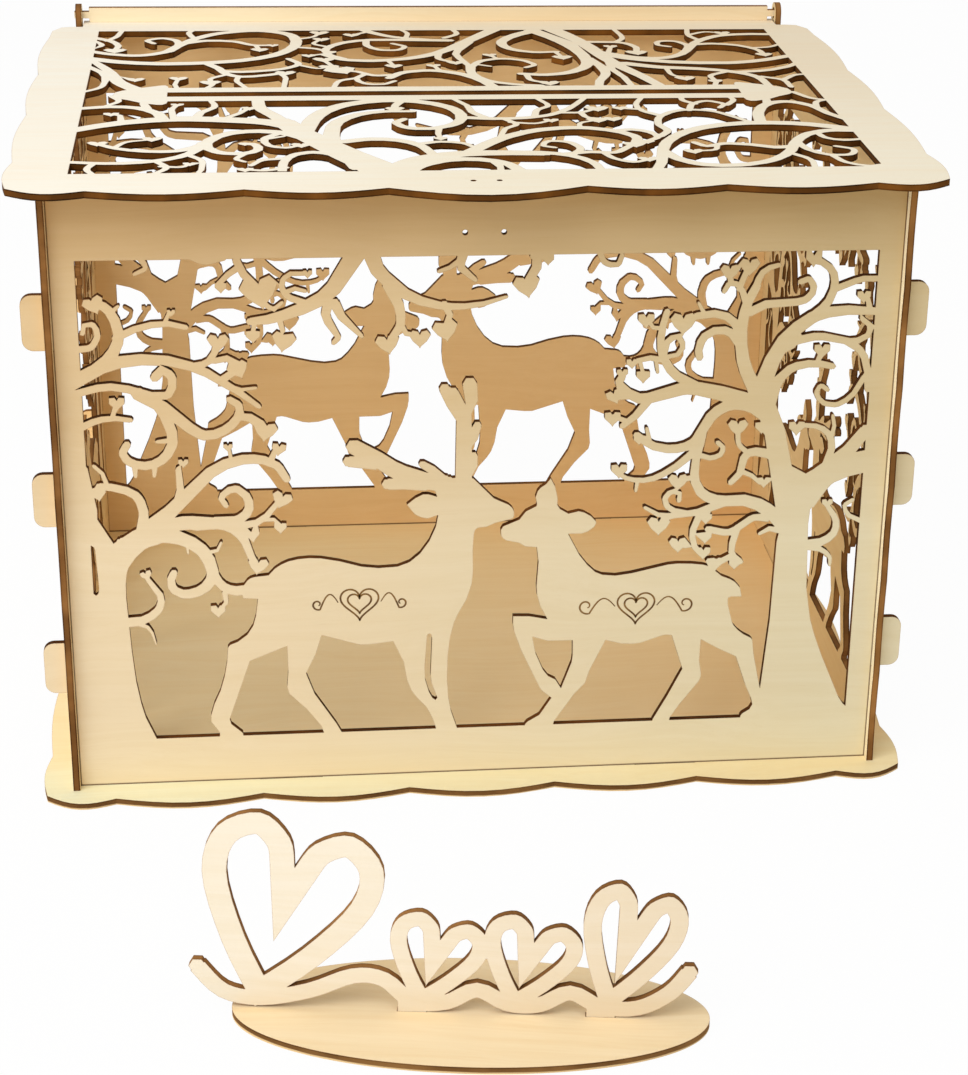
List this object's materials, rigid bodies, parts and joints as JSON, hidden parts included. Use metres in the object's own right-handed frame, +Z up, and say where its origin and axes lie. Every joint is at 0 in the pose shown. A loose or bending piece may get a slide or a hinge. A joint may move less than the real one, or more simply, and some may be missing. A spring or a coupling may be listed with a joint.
{
  "type": "wedding card box",
  "caption": "Fretwork plywood box with a card slot in its hinged lid, and a heart ornament on an oval foot.",
  "frame": {"origin": "middle of the box on the underside of its base plate", "axes": "+X to the right seen from the front, +Y to the back, +Z up"},
  "size_m": [0.3278, 0.4469, 0.2429],
  "materials": {
    "birch": "bare birch plywood, laser-cut",
    "birch_light": "bare pale birch plywood, laser-cut"
  },
  "bodies": {
    "box": {"base_plate": "birch", "front_panel": "birch", "back_panel": "birch", "left_panel": "birch", "right_panel": "birch"},
    "lid": {"lid_panel": "birch_light", "hinge_rail": "birch_light"},
    "ornament_stand": {"ornament_foot": "birch", "ornament": "birch_light"}
  },
  "joints": [
    {"name": "lid_hinge", "type": "hinge", "parent": "box", "child": "lid", "pos_m": [0, 0.129, 0.2385], "axis": [-1, 0, 0], "range_deg": [0, 105]},
    {"name": "ornament_lift", "type": "slide", "parent": "box", "child": "ornament_stand", "axis": [0, 0, 1], "range_m": [0, 0.15]}
  ]
}
